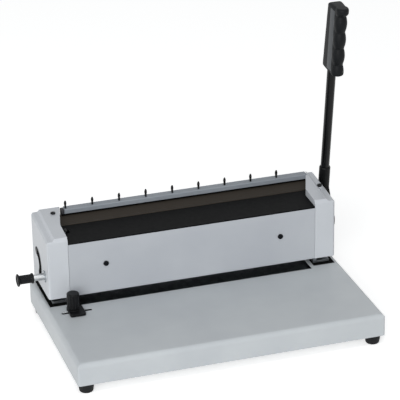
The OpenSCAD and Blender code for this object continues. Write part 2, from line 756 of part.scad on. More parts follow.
// Outer form of a cover: sloping top with a low strip at the side and a raised panel
fold_run = 3;
fold_drop = 1.5;
side_cut = 2;
module cover_mass(inset) {
  reach = 30;
  low = head_z0 - (inset > 0 ? eps : 0);
  drop = inset / cos(head_slope);
  intersection() {
    along_x(-head_x - eps, 0) polygon([[head_y0 - eps, low], [head_y1 + eps, low],
      [head_y1 + eps, panel_z(head_y1 + eps) - drop],
      [head_y0 + fold_run + inset / 2, panel_z(head_y0 + fold_run) - drop],
      [head_y0 + inset, fold_z - fold_drop - inset / 2], [head_y0 - eps, fold_z - fold_drop - inset / 2]]);
    translate([0, head_y0, fold_z]) rotate([head_slope, 0, 0]) along_y(-reach, head_d + reach) polygon([
      [-head_x + inset, -head_front_h - reach], [-head_x + inset, -side_cut],
      [-head_x + side_cut + inset / 2, -inset],
      [-head_x + strip_w, -inset], [-head_x + strip_w + panel_rise, panel_rise - inset],
      [0, panel_rise - inset], [0, -head_front_h - reach]]);
  }
}

// Space under the deck that both covers leave open on their inner side
module under_deck(x0, x1) along_x(x0, x1) polygon([
  [head_y0 + cover_t, head_z0 - eps], [head_y1 - cover_t, head_z0 - eps],
  [head_y1 - cover_t, plate_end_z + slide_gap], [plate_end_y, plate_end_z + slide_gap],
  [plate_flat_y, deck_z + slide_gap], [throat_y0, deck_z + slide_gap],
  [head_y0 + cover_t, table_z(head_y0 + cover_t) + slide_gap]]);

boss_r = 3.2;
cover_reach = head_front_h + 40;
module end_cover(lean, screw, boss_z, rail_end) difference() {
  union() {
    difference() {
      intersection() {
        cover_mass(0);
        translate([0, 0, head_z0 - eps]) linear_extrude(cover_reach) cover_outline(lean, 0);
      }
      intersection() {
        cover_mass(cover_t);
        translate([0, 0, head_z0 - 2 * eps]) linear_extrude(cover_reach) cover_outline(lean, cover_t);
      }
      under_deck(-head_x + cover_t + cover_corner_r, 0);
      block([-back_x - seam, head_y1 - cover_t - eps, head_z0 - eps], [0, head_y1 + eps, rail_foot_z + seam]);
      block([rail_end, rail_y0 - seam, head_z0], [0, head_y1 + eps, head_z0 + cover_reach]);
    }
    bar_z(boss_r, boss_z, panel_z(screw[1]) - cover_t / 2, screw[0], screw[1]);
  }
  bar_z(small_hole_r, boss_z - eps, head_z0 + cover_reach, screw[0], screw[1]);
  for (z = rear_screw_z) back_hole(-rear_screw_x, z);
}

left_cover_screw = left_top_screw;
left_boss_z = deck_z - plate_t;
right_cover_screw = [-tab_x, tab_y];
right_boss_z = tab_z1;

// Curved slot for the stop disc's stud, drawn round the shaft
stop_stud_ring = 15;
stop_stud_r = 3.2;
stud_proud = 0.6;
slot_from = 84;
slot_to = 222;
module stop_slot_outline() {
  r = stop_stud_ring;
  w = stop_stud_r + slide_gap + seam;
  far = 4 * r;
  difference() {
    circle(r + w);
    circle(r - w);
    polygon([[0, 0], [far * cos(slot_from), far * sin(slot_from)], [far, far], [far, -far],
      [far * cos(slot_to), far * sin(slot_to)]]);
  }
  for (a = [slot_from, slot_to]) translate([r * cos(a), r * sin(a)]) circle(w);
}

rail_end_gap = [1, 0.6];

module left_cover() placed() color("#b9bec3") difference() {
  end_cover(ear_lean_left, left_cover_screw, left_boss_z, rail_x0 - rail_end_gap[0]);
  bar_x(knob_bush_r, -head_x - eps, -head_x + cover_t + eps, knob_y, knob_z);
  translate([0, shaft_y, shaft_z]) along_x(-head_x - eps, -head_x + cover_t + eps) stop_slot_outline();
}

module right_cover() placed() color("#b9bec3") difference() {
  mirror([1, 0, 0]) end_cover(-ear_lean_right, right_cover_screw, right_boss_z, -rail_x1 - rail_end_gap[1]);
  bar_x(shaft_r + 2, head_x - cover_t - eps, head_x + eps, shaft_y, shaft_z);
}

module cover_screws() placed() color("#35383b") {
  top_screw(left_cover_screw[0], left_cover_screw[1]);
  top_screw(-right_cover_screw[0], right_cover_screw[1]);
  for (x = [-rear_screw_x, rear_screw_x], z = rear_screw_z) back_screw(x, z, back_screw_r, flange_t);
}

// Screw through a cover's top, with a flat round head that lies on the slope's higher side
top_head_r = 3;
top_head_t = 1.5;
module top_screw(x, y) {
  seat_z = panel_z(y + top_head_r);
  difference() {
    union() {
      bar_z(top_head_r, seat_z, seat_z + top_head_t, x, y);
      bar_z(back_screw_r, deck_z - plate_t - nut_t, seat_z + eps, x, y);
    }
    for (a = [0, 90]) translate([x, y, seat_z + top_head_t]) rotate(a) rotate([90, 0, 0]) cross_slot();
  }
}

// Flanged bush in the left cover for the side knob's rod
knob_bush_r = 5.5;
bush_rim_r = 7.2;
bush_rim_t = 1.2;
module knob_bush() placed() color("#9ea3a8") difference() {
  union() {
    bar_x(bush_rim_r, -head_x - bush_rim_t, -head_x, knob_y, knob_z);
    bar_x(knob_bush_r - fit, -head_x - bush_rim_t / 2, -head_x + cover_t + eps, knob_y, knob_z);
  }
  bar_x(guide_rod_r + slide_gap, -head_x - 2 * eps, -head_x + cover_t + 2 * eps, knob_y, knob_z);
}

// Involute of a circle of radius rb at the parameter t, in degrees
function involute(rb, t) = [rb * (cos(t) + t * PI / 180 * sin(t)), rb * (sin(t) - t * PI / 180 * cos(t))];
function turned(p, a) = [p[0] * cos(a) - p[1] * sin(a), p[0] * sin(a) + p[1] * cos(a)];
function polar_angle(p) = atan2(p[1], p[0]);
function reach_angle(rb, r) = r > rb ? sqrt(pow(r / rb, 2) - 1) * 180 / PI : 0;

// Right flank of one tooth, from root to tip, with the tooth's middle on the X axis
flank_steps = 4;
function tooth_flank(r, rb, root, tip) =
  let (half = tooth_w / 2 / r * 180 / PI, at_pitch = polar_angle(involute(rb, reach_angle(rb, r))),
    from = reach_angle(rb, max(rb, root)), to = reach_angle(rb, tip))
  concat([turned([root, 0], -half - at_pitch)],
    [for (k = [0:flank_steps]) turned(involute(rb, from + (to - from) * k / flank_steps), -half - at_pitch)]);

module pinion_outline() {
  rb = pinion_r * cos(pressure_angle);
  right = tooth_flank(pinion_r, rb, pinion_r - tooth_down, pinion_r + tooth_up);
  tooth = concat(right, [for (k = [len(right) - 1:-1:0]) [right[k][0], -right[k][1]]]);
  polygon([for (i = [0:pinion_teeth - 1], p = tooth) turned(p, 90 + i * 360 / pinion_teeth)]);
}

// Rack teeth on both sides of a middle tooth or gap, from the first to the last, in pitches
module rack_outline(first, last, back) {
  slope = tan(pressure_angle);
  up = tooth_w / 2 - tooth_up * slope;
  low = tooth_w / 2 + tooth_down * slope;
  tooth = [[-low, -tooth_down], [-up, tooth_up], [up, tooth_up], [low, -tooth_down]];
  teeth = [for (i = [first:last], p = tooth) [i * tooth_pitch + p[0], p[1]]];
  x0 = first * tooth_pitch - low;
  x1 = last * tooth_pitch + low;
  polygon(concat(teeth, [[x1, -back], [x0, -back]]));
}

disc_gap = 0.4;
disc_t = 2.5;

// Main shaft, with the pinions cut in its two collars
module main_shaft() placed() color("#a7abae") {
  bar_x(shaft_r, -pinion_x1 - disc_gap - disc_t - slide_gap, hub_x1 - disc_gap, shaft_y, shaft_z);
  both_sides() translate([0, shaft_y, shaft_z]) along_x(pinion_x0, pinion_x1) pinion_outline();
}

// Disc on the shaft's left end, whose stud shows in the cover's curved slot
module stop_disc() placed() color("#17181a") translate([0, shaft_y, shaft_z]) difference() {
  x0 = -pinion_x1 - disc_gap - disc_t;
  union() {
    bar_x(stop_stud_ring + stop_stud_r + edge_cut, x0, x0 + disc_t, 0, 0);
    bar_x(stop_stud_r, -head_x - stud_proud, x0 + disc_t / 2, 0, stop_stud_ring);
  }
  bar_x(shaft_r + push_fit, x0 - eps, x0 + disc_t + eps, 0, 0);
}

// Crank on the shaft's right end, with the socket for the lever rod
module on_rod_axis() translate([lever_x, socket_y, socket_z]) rotate([rod_lean, 0, 0]) children();

module crank() placed() color("#131416") difference() {
  mouth = 2 * edge_cut;
  union() {
    bar_x(hub_r, hub_x0, hub_x1, shaft_y, shaft_z);
    hull() {
      bar_x(hub_r - edge_cut, lever_x - arm_t / 2, lever_x + arm_t / 2, shaft_y, shaft_z);
      on_rod_axis() bar_x(socket_r, -arm_t / 2, arm_t / 2, 0, -socket_h);
    }
    on_rod_axis() translate([0, 0, -socket_h]) cylinder(r = socket_r, h = socket_h - mouth);
    on_rod_axis() translate([0, 0, -mouth]) cylinder(r1 = socket_r, r2 = socket_r - edge_cut, h = mouth);
  }
  bar_x(shaft_r + push_fit, hub_x0 - eps, hub_x1 + eps, shaft_y, shaft_z);
  on_rod_axis() translate([0, 0, socket_floor - socket_h]) cylinder(r = rod_d / 2 + push_fit, h = socket_h);
}

module lever_rod() placed() color("#1b1c1f") on_rod_axis() translate([0, 0, socket_floor - socket_h])
  cylinder(r = rod_d / 2, h = socket_h - socket_floor + grip_s1 - rod_end_gap);

// Moulded grip: a flat-sided back that is deeper at the bottom, a column of round finger lobes along
// its front and a head that reaches forward. The top is level while the lever is at rest.
grip_round = 3;
grip_back = [12, 7];
grip_front = 10;
lobe_y = 16;
lobe_first = 14;
head_ahead = 3.5;
head_h = 11.1;
lobe_r = lobe_d / 2;
lobe_low = lobe_r - lobe_hollow;
lobe_pitch = (grip_len - lobe_first - head_h) / (grip_lobes - 1);
function grip_top(y) = grip_s1 - (y + lobe_y + head_ahead) * tan(rod_lean);

module grip_post(y, s0, s1) for (x = [-1, 1]) translate([x * (grip_t / 2 - grip_round), y, 0]) {
  translate([0, 0, s0]) cylinder(r = grip_round, h = eps, $fn = 24);
  translate([0, 0, s1 - grip_round]) sphere(grip_round, $fn = 24);
}

module lobe_column() rotate_extrude() {
  arc_r = (pow(lobe_pitch / 2, 2) + pow(lobe_hollow, 2)) / (2 * lobe_hollow);
  square([lobe_low, grip_len - head_h / 2]);
  intersection() {
    square([lobe_r, grip_len - head_h]);
    for (k = [0:grip_lobes - 1])
      translate([lobe_r - arc_r, lobe_first + (k - 0.5) * lobe_pitch]) circle(arc_r, $fn = 96);
  }
}

module head_lobe() rotate_extrude() hull() {
  square([eps, head_h]);
  square([lobe_low, eps]);
  translate([lobe_r - grip_round, head_h - grip_round]) circle(grip_round, $fn = 24);
}

module lever_grip() placed() color("#1a1b1d") on_rod_axis() difference() {
  back_y = grip_back[1] - grip_round;
  front_y = grip_round - grip_front;
  union() {
    hull() {
      grip_post(grip_back[0] - grip_round, grip_s0, grip_s0 + 2 * grip_round);
      grip_post(front_y, grip_s0, grip_top(front_y));
      grip_post(back_y, grip_s0, grip_top(back_y));
    }
    translate([0, -lobe_y, grip_s0]) lobe_column();
    hull() {
      grip_post(front_y, grip_s1 - head_h, grip_top(front_y));
      translate([0, -lobe_y - head_ahead, grip_s1 - head_h]) head_lobe();
    }
  }
  translate([0, 0, grip_s0 - eps]) cylinder(r = rod_d / 2 + fit, h = grip_len - rod_end_gap + eps + seam);
}

// Domed cap over the screw that holds the crank
module hub_cap() placed() color("#2a2c2f") translate([hub_x1, shaft_y, shaft_z]) rotate([0, 90, 0])
  rotate_extrude() polygon([[0, 0], [cap_r, 0], [cap_r, cap_t / 2], [cap_r - cap_t, cap_t], [0, cap_t]]);

// Punch bar, which slides in the frames' slots
pin_head_r = 3;
pin_head_t = 2;
pin_back = 0.4;
retainer_t = 1.5;
module punch_bar() placed() color("#6b7074") difference() {
  block([-bar_end, bar_y0, bar_z0], [bar_end, bar_y1, bar_z1]);
  hole_row() {
    bar_y(pin_r + push_fit, bar_y0 - eps, bar_y1 + eps, 0, hole_z);
    bar_y(pin_head_r + fit, bar_y1 - pin_head_t, bar_y1 + eps, 0, hole_z);
  }
}

module punch_pins() placed() color("#c4c7ca") hole_row() {
  bar_y(pin_r, throat_y1 + pin_back, bar_y1 - pin_head_t, 0, hole_z);
  bar_y(pin_head_r, bar_y1 - pin_head_t, bar_y1, 0, hole_z);
}

module pin_retainer() placed() color("#5d6266")
  block([-frame_x + 2 * eps, bar_y1, bar_z0 + eps], [frame_x - 2 * eps, bar_y1 + retainer_t, bar_z1 - eps]);

// Racks under the punch bar's ends, over the pinions
module punch_racks() placed() color("#8f9498") both_sides() {
  first = -3;
  last = ceil((bar_y1 - shaft_y) / tooth_pitch) - 2;
  translate([0, shaft_y + tooth_pitch / 2, rack_pitch_z]) along_x(punch_rack_x0, bar_end) mirror([0, 1])
    rack_outline(first, last, bar_z0 - rack_pitch_z);
}

// Flat bar that comes down on the wire, with a shallow groove below
module closing_bar() placed() color("#54595e") difference() {
  union() {
    block([-frame_x + slide_gap, close_y0, close_z0], [frame_x - slide_gap, close_y1, close_z1]);
    both_sides() {
      block([frame_x - eps, tongue_y0, close_z0], [close_rack_x1, close_y1, close_z1]);
      block([close_rack_x0, tongue_y0, close_z0], [close_rack_x1, rack_back_y, close_z1]);
    }
  }
  bar_x(groove_r, -frame_x, frame_x, (close_y0 + close_y1) / 2 - 2, close_z0 + groove_depth - groove_r);
  both_sides() bar_z(spring_eye_r, close_z1 - spring_eye_depth, close_z1 + eps, spring_x, spring_y);
}

// Racks that stand on the closing bar's ends, in front of the pinions
rack_depth = 8;
module closing_racks() placed() color("#8f9498") both_sides() {
  first = -2;
  last = 5;
  low = tooth_w / 2 + tooth_down * tan(pressure_angle);
  translate([0, rack_pitch_y, shaft_z]) along_x(close_rack_x0, close_rack_x1) rotate(90) mirror([0, 1])
    rack_outline(first, last, rack_depth);
  block([close_rack_x0, rack_pitch_y - rack_depth, close_z1],
    [close_rack_x1, rack_back_y, shaft_z + first * tooth_pitch - low]);
}

// Tension springs that lift the closing bar, and with it the lever and the punch bar
module return_springs() placed() color("#a7abae") both_sides() difference() {
  bar_z(spring_r, close_z1 + slide_gap, spring_tie_z0 - slide_gap, spring_x, spring_y);
  bar_z(spring_r - spring_wall, close_z1 - eps, spring_tie_z0 + eps, spring_x, spring_y);
}

// Side knob: a fluted waist with a wide flange at its outer end and a narrower one at the head
inner_flange_d = 13;
flange_edge = 1;
flange_slope = 1.5;
flute_count = 12;
flute_r = 1.1;
knob_bore_depth = 12;

module side_knob() placed() color("#141517")
  translate([side_knob_x1, knob_y, knob_z]) rotate([0, -90, 0]) fluted_spool();

module fluted_spool() difference() {
  r_in = inner_flange_d / 2;
  r_out = side_knob_d / 2;
  waist = side_waist_d / 2;
  low = edge_cut + flange_edge;
  high = side_knob_len - low;
  rotate_extrude() polygon([[0, 0], [r_in - edge_cut, 0], [r_in, edge_cut], [r_in, low],
    [waist, low + flange_slope], [waist, high - flange_slope], [r_out, high],
    [r_out, side_knob_len - edge_cut], [r_out - edge_cut, side_knob_len],
    [r_out - 3 * edge_cut, side_knob_len], [r_out - 4 * edge_cut, side_knob_len - edge_cut],
    [0, side_knob_len - edge_cut]]);
  for (i = [0:flute_count - 1]) rotate(i * 360 / flute_count)
    translate([waist + flute_r / 2, 0, low + flange_slope + edge_cut])
      cylinder(r = flute_r, h = high - low - 2 * flange_slope - 2 * edge_cut);
  translate([0, 0, -eps]) cylinder(r = guide_rod_r + push_fit, h = knob_bore_depth + eps);
}

// Rod of the edge guide, with a collar and a clip on both sides of the left frame
collar_t = 3.5;
clip_t = 0.8;

module guide_screw() placed() color("#c9ccce") {
  bar_x(guide_rod_r, side_knob_x1 - knob_bore_depth, stop_face_x + nut_w + 2 * stop_travel, knob_y, knob_z);
  bar_x(collar_r, -frame_out - slide_gap - collar_t, -frame_out - slide_gap, knob_y, knob_z);
  bar_x(collar_r, -frame_x + seam, -frame_x + seam + clip_t, knob_y, knob_z);
}

// Nut on the rod, with the arm and finger that the sheet's edge rests against
module edge_stop() placed() color("#131416") difference() {
  x0 = stop_face_x - stop_t;
  low = knob_z - nut_half_h;
  high = knob_z + nut_half_h;
  union() {
    block([x0, knob_y - nut_half_d, low], [x0 + nut_w, knob_y + nut_half_d, high]);
    block([x0, knob_y, low], [stop_face_x, stop_y1, high]);
    block([x0, stop_y0, low], [stop_face_x, stop_y1, table_z(stop_y1) + stop_rise]);
  }
  bar_x(guide_rod_r + fit, x0 - eps, x0 + nut_w + eps, knob_y, knob_z);
}

// Size knob: a fluted post on a foot that slides along the slot in the base
size_foot = [[-7, -15], [12, 9]];
size_foot_t = 3.4;
size_foot_r = 3;
post_step = 1;
post_bevel = 2;

module size_knob() placed() color("#131416") {
  post_r = size_knob_d / 2;
  z0 = base_z1 + slide_gap;
  grip_z = size_foot_t + post_step + post_bevel;
  translate([size_x, size_y, z0]) {
    linear_extrude(size_foot_t)
      round_rect(size_foot[0][0], size_foot[0][1], size_foot[1][0], size_foot[1][1], size_foot_r);
    difference() {
      rotate_extrude() polygon([[0, 0], [post_r - post_step, 0],
        [post_r - post_step, grip_z - post_bevel], [post_r, grip_z],
        [post_r, size_knob_h - post_step], [post_r - post_step, size_knob_h], [0, size_knob_h]]);
      for (i = [0:flute_count - 1]) rotate(i * 360 / flute_count)
        translate([post_r + flute_r / 2, 0, grip_z + edge_cut]) cylinder(r = flute_r, h = size_knob_h);
    }
  }
  bar_z(neck_r - slide_gap, arm_z1, z0 + eps, size_x, size_y);
}

// Slider in the base, which the size knob pulls, with a wedge under each end of the anvil
arm_half = 6;
arm_gap = 0.6;
wedge_lead = 20;

module size_slider() placed() color("#6b7074") {
  z1 = slider_z0 + slider_t;
  y1 = tray_y1 - tray_t - slider_side_gap;
  web_x1 = -tray_x - size_right - arm_gap;
  block([web_x1 - slider_t, size_y - arm_half, arm_z1 - slider_t],
    [size_x + slider_half, size_y + arm_half, arm_z1]);
  block([web_x1 - slider_t, size_y - arm_half, slider_z0], [web_x1, slider_y1, arm_z1]);
  block([web_x1 - slider_t, slider_y0, slider_z0], [wedge_at[0] - wedge_lead, slider_y1, z1]);
  block([wedge_at[0] - wedge_lead, slider_y0, slider_z0], [wedge_at[1] + wedge_len + slider_t, y1, z1]);
  for (x = wedge_at) along_y(slider_y0, y1) polygon([[x, z1 - slider_t / 4],
    [x + wedge_len, z1 - slider_t / 4], [x + wedge_len, z1 + wedge_len * wedge_rise], [x, z1]]);
}

// Anvil under the closing bar, carried by the slider's wedges
module closing_anvil() placed() color("#2b2d30") {
  z1 = slider_z0 + slider_t + slide_gap;
  foot_from = size_right + eps;
  foot_to = wedge_len - size_left - eps;
  foot_top = anvil_z1 - anvil_t / 2;
  block([-tray_x + tray_t + eps, tray_y0 + tray_t + slide_gap, anvil_z1 - anvil_t],
    [tray_x - tray_t - eps, tray_y1 - tray_t - slide_gap, anvil_z1]);
  for (x = wedge_at) along_y(slider_y0 + eps, tray_y1 - tray_t - slider_side_gap - eps) polygon([
    [x + foot_from, z1 + foot_from * wedge_rise], [x + foot_to, z1 + foot_to * wedge_rise],
    [x + foot_to, foot_top], [x + foot_from, foot_top]]);
}

// Tray that catches the chips and pulls out at the back
finger_r = 14;
module chip_tray() placed() color("#1b1d1f") difference() {
  block([-chip_x, chip_y0, chip_z0], [chip_x, chip_y1, chip_z1]);
  block([-chip_x + chip_t, chip_y0 + chip_t, chip_z0 + chip_t],
    [chip_x - chip_t, chip_y1 - chip_t, chip_z1 + eps]);
  translate([0, 0, chip_z1]) along_y(chip_y1 - 2 * chip_t, chip_y1 + eps) difference() {
    circle(finger_r);
    translate([-finger_r, 0]) square(2 * finger_r);
  }
}

base_shell();
base_plate();
rubber_feet();
foot_screws();
closing_tray();
left_frame();
right_frame();
frame_bolts();
frame_screws();
shaft_bushes();
front_tie();
spring_tie();
rear_tie();
die_plate();
pin_guide();
throat_stop();
paper_table();
rear_plate();
top_rail();
rail_screws();
wire_hooks();
front_panel();
panel_screws();
back_panel();
back_screws();
left_cover();
right_cover();
cover_screws();
knob_bush();
main_shaft();
stop_disc();
crank();
lever_rod();
lever_grip();
hub_cap();
punch_bar();
punch_pins();
pin_retainer();
punch_racks();
closing_bar();
closing_racks();
return_springs();
side_knob();
guide_screw();
edge_stop();
size_knob();
size_slider();
closing_anvil();
chip_tray();
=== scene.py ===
import math

import bpy
from mathutils import Matrix, Vector


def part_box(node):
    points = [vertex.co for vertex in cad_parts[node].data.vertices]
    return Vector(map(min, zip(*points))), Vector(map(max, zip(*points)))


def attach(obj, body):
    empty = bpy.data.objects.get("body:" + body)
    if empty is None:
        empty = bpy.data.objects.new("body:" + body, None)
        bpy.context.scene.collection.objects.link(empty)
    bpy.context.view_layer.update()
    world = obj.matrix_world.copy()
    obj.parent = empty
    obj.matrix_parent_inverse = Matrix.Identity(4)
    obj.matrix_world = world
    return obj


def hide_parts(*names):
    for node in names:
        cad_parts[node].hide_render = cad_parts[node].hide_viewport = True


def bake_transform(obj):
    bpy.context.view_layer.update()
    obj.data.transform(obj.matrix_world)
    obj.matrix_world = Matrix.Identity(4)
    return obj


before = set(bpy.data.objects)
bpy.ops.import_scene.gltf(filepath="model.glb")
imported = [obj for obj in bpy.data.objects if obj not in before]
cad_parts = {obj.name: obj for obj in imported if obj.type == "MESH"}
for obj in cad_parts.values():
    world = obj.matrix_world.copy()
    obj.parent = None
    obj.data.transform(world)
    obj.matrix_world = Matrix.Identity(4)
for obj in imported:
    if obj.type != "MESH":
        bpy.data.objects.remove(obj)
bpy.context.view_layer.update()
bpy.ops.object.select_all(action="DESELECT")

# Camera: it stands in front of the machine and to its left, and looks down on it from afar, so that
# the long edges run almost parallel. Its angles, in radians, are those at which the picture's edges
# and knobs line up.
camera_place = Vector((-0.6866, -2.2068, 1.2083))
turn_to_right = 0.3033
look_down = 0.4226
roll = -0.0183
lens_mm = 193.85
sensor_mm = 36
sight_limit = 20

bpy.ops.object.camera_add(location=camera_place)
camera = bpy.context.object
ahead = Vector((math.sin(turn_to_right) * math.cos(look_down),
                math.cos(turn_to_right) * math.cos(look_down), -math.sin(look_down)))
level_right = Vector((math.cos(turn_to_right), -math.sin(turn_to_right), 0))
level_up = level_right.cross(ahead)
right = level_right * math.cos(roll) + level_up * math.sin(roll)
up = level_up * math.cos(roll) - level_right * math.sin(roll)
turned = Matrix((right, up, -ahead)).transposed().to_4x4()
camera.matrix_world = Matrix.Translation(camera_place) @ turned
camera.data.lens = lens_mm
camera.data.sensor_width = sensor_mm
camera.data.clip_end = sight_limit
bpy.context.scene.camera = camera


# Floor and light: a pale studio floor, a bright sky dome and two soft lamps. The large front lamp
# stands low and to the left, so that front and left faces are brighter than the tops, and a small
# lamp hangs high in front of the machine.
def linear(hex_colour):
    """The linear colour of an sRGB hex value."""
    channels = [int(hex_colour[i:i + 2], 16) / 255 for i in (1, 3, 5)]
    return (*[c / 12.92 if c <= 0.04045 else ((c + 0.055) / 1.055) ** 2.4 for c in channels], 1)


def cleared_nodes(owner):
    """The emptied node tree of a material or of the world."""
    owner.use_nodes = True
    owner.node_tree.nodes.clear()
    return owner.node_tree


def add(tree, kind, settings, **links):
    """Adds a node. Settings are values of inputs or of its own properties; links feed inputs."""
    made = tree.nodes.new("ShaderNode" + kind)
    for name, value in settings.items():
        if name in made.inputs:
            made.inputs[name].default_value = value
        else:
            setattr(made, name, value)
    for name, source in links.items():
        tree.links.new(source, made.inputs[name])
    return made


def seen_rays(tree):
    """One for the rays that show the background: of the camera, of gloss and through glass."""
    path = add(tree, "LightPath", {})
    seen = path.outputs["Is Camera Ray"]
    for ray in ("Is Glossy Ray", "Is Transmission Ray"):
        either = add(tree, "Math", {"operation": "MAXIMUM"})
        tree.links.new(seen, either.inputs[0])
        tree.links.new(path.outputs[ray], either.inputs[1])
        seen = either.outputs[0]
    return seen


def soft_lamp(name, place, size, power):
    """A square area lamp that faces the middle of the machine."""
    bpy.ops.object.light_add(type="AREA", location=place)
    lamp = bpy.context.object
    lamp.name = name
    lamp.data.size = size
    lamp.data.energy = power
    lamp.rotation_euler = (lamp_aim - Vector(place)).to_track_quat("-Z", "Y").to_euler()


white = (1, 1, 1, 1)
floor_width = 12
floor_glow = 0.56  # what the lamps add brings the floor to white, and leaves the shadow in it
dome_strength = 0.39
lamp_aim = Vector((0, 0, 0.1))

bpy.ops.mesh.primitive_plane_add(size=floor_width, location=(0, 0, 0))
floor = bpy.context.object
floor.name = "floor"
floor_paint = bpy.data.materials.new("pale studio floor")
tree = cleared_nodes(floor_paint)
lit = add(tree, "BsdfDiffuse", {"Color": linear("#EDEDEC")})
glow_strength = add(tree, "Math", {"operation": "MULTIPLY"})
tree.links.new(seen_rays(tree), glow_strength.inputs[0])
glow_strength.inputs[1].default_value = floor_glow
glow = add(tree, "Emission", {"Color": white}, Strength=glow_strength.outputs[0])
both = add(tree, "AddShader", {})
tree.links.new(lit.outputs[0], both.inputs[0])
tree.links.new(glow.outputs[0], both.inputs[1])
add(tree, "OutputMaterial", {}, Surface=both.outputs[0])
floor.data.materials.append(floor_paint)

sky = bpy.data.worlds.new("studio dome")
bpy.context.scene.world = sky
tree = cleared_nodes(sky)
dome = add(tree, "Background", {"Color": linear("#F4F6F8"), "Strength": dome_strength})
seen_white = add(tree, "Background", {"Color": white, "Strength": 1})
pick = add(tree, "MixShader", {})
tree.links.new(seen_rays(tree), pick.inputs[0])
tree.links.new(dome.outputs[0], pick.inputs[1])
tree.links.new(seen_white.outputs[0], pick.inputs[2])
add(tree, "OutputWorld", {}, Surface=pick.outputs[0])

soft_lamp("front_lamp", (-1.45, -2.3, 1.05), size=1.8, power=55)
soft_lamp("top_lamp", (-0.2, -0.95, 2.3), size=0.6, power=9)
bpy.context.scene.view_settings.view_transform = "Standard"

# Base: one sheet of steel folded down on all four sides, powder coated light grey. The coat has a
# dull gloss with a faint orange peel, and the folds are round enough to carry a soft highlight.
join_within = 0.00001
flat_within = math.radians(0.5)
least_edge_mm = 0.02
flat_face_weight = 80


def finished(node_name, material, edge_mm, edge_angle=35):
    """Gives a CAD node its material, joins its facets and breaks its sharp edges by edge_mm."""
    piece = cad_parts[node_name]
    piece.data.materials.clear()
    piece.data.materials.append(material)
    for face in piece.data.polygons:
        face.use_smooth = True
    weld = piece.modifiers.new("joined facets", "WELD")
    weld.merge_threshold = join_within
    flat = piece.modifiers.new("whole faces", "DECIMATE")
    flat.decimate_type = "DISSOLVE"
    flat.angle_limit = flat_within
    broken = piece.modifiers.new("broken edges", "BEVEL")
    broken.width = max(edge_mm, least_edge_mm) / 1000
    broken.segments = 2
    broken.limit_method = "ANGLE"
    broken.angle_limit = math.radians(edge_angle)
    broken.use_clamp_overlap = False
    even = piece.modifiers.new("flat faces stay flat", "WEIGHTED_NORMAL")
    even.weight = flat_face_weight


def new_material(name):
    """A material with its node tree, its shader and its places in Object coordinates."""
    material = bpy.data.materials.new(name)
    material.use_nodes = True
    tree = material.node_tree
    place = add(tree, "TexCoord", {}).outputs["Object"]
    return material, tree, tree.nodes["Principled BSDF"], place


def powder_coat(name, colour, shade, roughness, cloud_mm=71.4, peel_mm=1.6, peel_depth_mm=0.012):
    """Baked polyester powder on steel: even colour, soft gloss and orange peel."""
    material, tree, shader, place = new_material(name)
    cloud = add(tree, "TexNoise", {"Scale": 1000 / cloud_mm, "Detail": 3.0}, Vector=place)
    tone = add(tree, "ValToRGB", {}, Fac=cloud.outputs["Fac"])
    for stop, position, hue in zip(tone.color_ramp.elements, (0.35, 0.65), (shade, colour)):
        stop.position = position
        stop.color = linear(hue)
    tree.links.new(tone.outputs["Color"], shader.inputs["Base Color"])
    peel = add(tree, "TexNoise", {"Scale": 1000 / peel_mm, "Detail": 2.0}, Vector=place)
    bump = add(tree, "Bump", {"Strength": 0.5, "Distance": peel_depth_mm / 1000},
               Height=peel.outputs["Fac"])
    tree.links.new(bump.outputs["Normal"], shader.inputs["Normal"])
    shader.inputs["Roughness"].default_value = roughness
    shader.inputs["IOR"].default_value = 1.5
    return material


base_grey = powder_coat("powder coated steel, light grey", "#BFC4C7", "#B8BDC1", 0.4)
finished("base_shell", base_grey, 0.3)


# Base plate, feet and their screws: a zinc-plated plate closes the base from inside, and four
# moulded rubber feet, dull and nearly black, are held through it by screws with nuts.
def plated_steel(name, colour, roughness=0.34, spangle_mm=6.0, haze_mm=11.1):
    """Zinc or nickel on steel: bluish metal that shimmers a little in a cloudy crystal pattern."""
    material, tree, shader, place = new_material(name)
    spangle = add(tree, "TexVoronoi", {"Scale": 1000 / spangle_mm}, Vector=place)
    tone = add(tree, "ValToRGB", {}, Fac=spangle.outputs["Color"])
    tone.color_ramp.elements[0].color = linear("#8C9196")
    tone.color_ramp.elements[1].color = linear(colour)
    tree.links.new(tone.outputs["Color"], shader.inputs["Base Color"])
    haze = add(tree, "TexNoise", {"Scale": 1000 / haze_mm, "Detail": 4.0}, Vector=place)
    gloss = add(tree, "MapRange", {"To Min": roughness - 0.06, "To Max": roughness + 0.1},
                Value=haze.outputs["Fac"])
    tree.links.new(gloss.outputs["Result"], shader.inputs["Roughness"])
    shader.inputs["Metallic"].default_value = 1.0
    return material


def moulded(name, colour, roughness, grain_mm, grain_depth_mm, shine=0.15):
    """Moulded rubber or plastic, dulled by an even spark-eroded grain. The real grain is about
    0.1 mm wide and is drawn coarser, so that it shows."""
    material, tree, shader, place = new_material(name)
    shader.inputs["Base Color"].default_value = linear(colour)
    shader.inputs["Specular IOR Level"].default_value = shine
    grain = add(tree, "TexNoise", {"Scale": 1000 / grain_mm, "Detail": 3.0}, Vector=place)
    bump = add(tree, "Bump", {"Strength": 0.6, "Distance": grain_depth_mm / 1000},
               Height=grain.outputs["Fac"])
    tree.links.new(bump.outputs["Normal"], shader.inputs["Normal"])
    gloss = add(tree, "MapRange", {"To Min": roughness - 0.05, "To Max": roughness + 0.08},
                Value=grain.outputs["Fac"])
    tree.links.new(gloss.outputs["Result"], shader.inputs["Roughness"])
    return material


zinc = plated_steel("zinc plated steel", "#A9AEB2")
foot_rubber = moulded("moulded black rubber", "#1B1C1D", 0.55, 0.9, 0.03)
finished("base_plate", zinc, 0.2)
finished("rubber_feet", foot_rubber, 0.4)
finished("foot_screws", zinc, 0.1)


